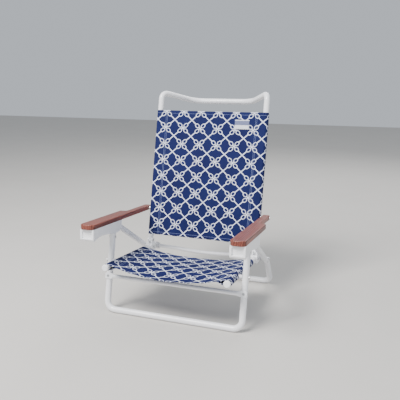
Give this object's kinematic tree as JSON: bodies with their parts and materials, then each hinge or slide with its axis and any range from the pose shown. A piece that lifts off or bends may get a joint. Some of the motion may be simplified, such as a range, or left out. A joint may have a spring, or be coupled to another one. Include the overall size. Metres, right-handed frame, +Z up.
{
  "type": "folding beach chair",
  "caption": "Low folding beach chair: white tube frame, patterned cloth seat and back slings, flat wooden arms over notched brackets, back reclines and whole chair folds flat.",
  "frame": {"origin": "bottom centre of the bounding box, on the ground in the chair's plane of symmetry", "axes": "+Z up, +X to the sitter's left, the front of the chair faces -Y"},
  "size_m": [0.628, 0.7732, 0.8495],
  "materials": {
    "frame_tube": "gloss white powder coat",
    "white_plastic": "satin moulded",
    "grey_plastic": "satin moulded",
    "arm_wood": "red-brown stain under satin varnish",
    "sling_cloth": "navy woven canvas with a white trellis print",
    "tag_cloth": "plain woven label",
    "steel": "zinc plated",
    "rack_steel": "white painted pressed steel"
  },
  "bodies": {
    "seat": {"seat_rail_left": "frame_tube", "seat_rail_right": "frame_tube", "seat_rail_caps": "white_plastic", "seat_pivot_bolts": "steel", "seat_pivot_spacers": "grey_plastic", "hinge_base_left": "white_plastic", "hinge_base_right": "white_plastic", "hinge_base_bolts": "steel", "rail_clip_left": "grey_plastic", "rail_clip_right": "grey_plastic", "rail_clip_rivets": "steel", "seat_sling": "sling_cloth"},
    "front_leg": {"front_leg_tube": "frame_tube", "front_stretcher": "frame_tube", "front_stretcher_rivets": "steel", "front_leg_eye_left": "white_plastic", "front_leg_eye_right": "white_plastic", "front_leg_eye_rivets": "steel", "apex_pins": "steel"},
    "rear_leg": {"rear_leg_tube": "frame_tube", "rear_stretcher": "frame_tube", "rear_stretcher_rivets": "steel", "rear_leg_hook_left": "white_plastic", "rear_leg_hook_right": "white_plastic"},
    "back_hinge": {"hinge_pins": "steel", "hinge_washers": "steel"},
    "back": {"back_frame_tube": "frame_tube", "back_foot_fitting_left": "white_plastic", "back_foot_fitting_right": "white_plastic", "back_sling": "sling_cloth", "back_tag": "tag_cloth", "arm_pivot_bolts": "steel"},
    "bush_left": {"arm_bush_left": "steel"},
    "bush_right": {"arm_bush_right": "steel"},
    "arm_left": {"arm_board_left": "arm_wood", "arm_bracket_left": "white_plastic", "position_rack_left": "rack_steel", "arm_screws_left": "steel"},
    "arm_right": {"arm_board_right": "arm_wood", "arm_bracket_right": "white_plastic", "position_rack_right": "rack_steel", "arm_screws_right": "steel"}
  },
  "joints": [
    {"name": "front_leg_fold", "type": "hinge", "parent": "seat", "child": "front_leg", "pos_m": [0, -0.22505, 0.2], "axis": [1, 0, 0], "range_deg": [0, 88]},
    {"name": "rear_leg_fold", "type": "hinge", "parent": "seat", "child": "rear_leg", "pos_m": [0, 0.13782, 0.153], "axis": [1, 0, 0], "range_deg": [0, 18.7]},
    {"name": "back_fold", "type": "hinge", "parent": "seat", "child": "back_hinge", "pos_m": [0, 0.07415, 0.2], "axis": [1, 0, 0], "range_deg": [0, 88]},
    {"name": "back_recline", "type": "hinge", "parent": "back_hinge", "child": "back", "pos_m": [0, 0.07415, 0.2], "axis": [-1, 0, 0], "range_deg": [0, 72]},
    {"name": "arm_fold_left", "type": "hinge", "parent": "back", "child": "bush_left", "pos_m": [0, 0.10729, 0.338], "axis": [1, 0, 0], "range_deg": [-88, 0]},
    {"name": "arm_swing_left", "type": "hinge", "parent": "bush_left", "child": "arm_left", "pos_m": [0, 0.10729, 0.338], "axis": [1, 0, 0], "range_deg": [0, 54.75]},
    {"name": "arm_fold_right", "type": "hinge", "parent": "back", "child": "bush_right", "pos_m": [0, 0.10729, 0.338], "axis": [1, 0, 0], "range_deg": [-88, 0]},
    {"name": "arm_swing_right", "type": "hinge", "parent": "bush_right", "child": "arm_right", "pos_m": [0, 0.10729, 0.338], "axis": [1, 0, 0], "range_deg": [0, 54.75]}
  ],
  "couplings": [
    {"joint": "rear_leg_fold", "follows": "front_leg_fold", "ratio": 0.2125},
    {"joint": "back_fold", "follows": "front_leg_fold", "ratio": 1},
    {"joint": "arm_fold_left", "follows": "front_leg_fold", "ratio": -1},
    {"joint": "arm_swing_left", "follows": "back_recline", "ratio": 0.75985},
    {"joint": "arm_fold_right", "follows": "front_leg_fold", "ratio": -1},
    {"joint": "arm_swing_right", "follows": "back_recline", "ratio": 0.75985}
  ]
}
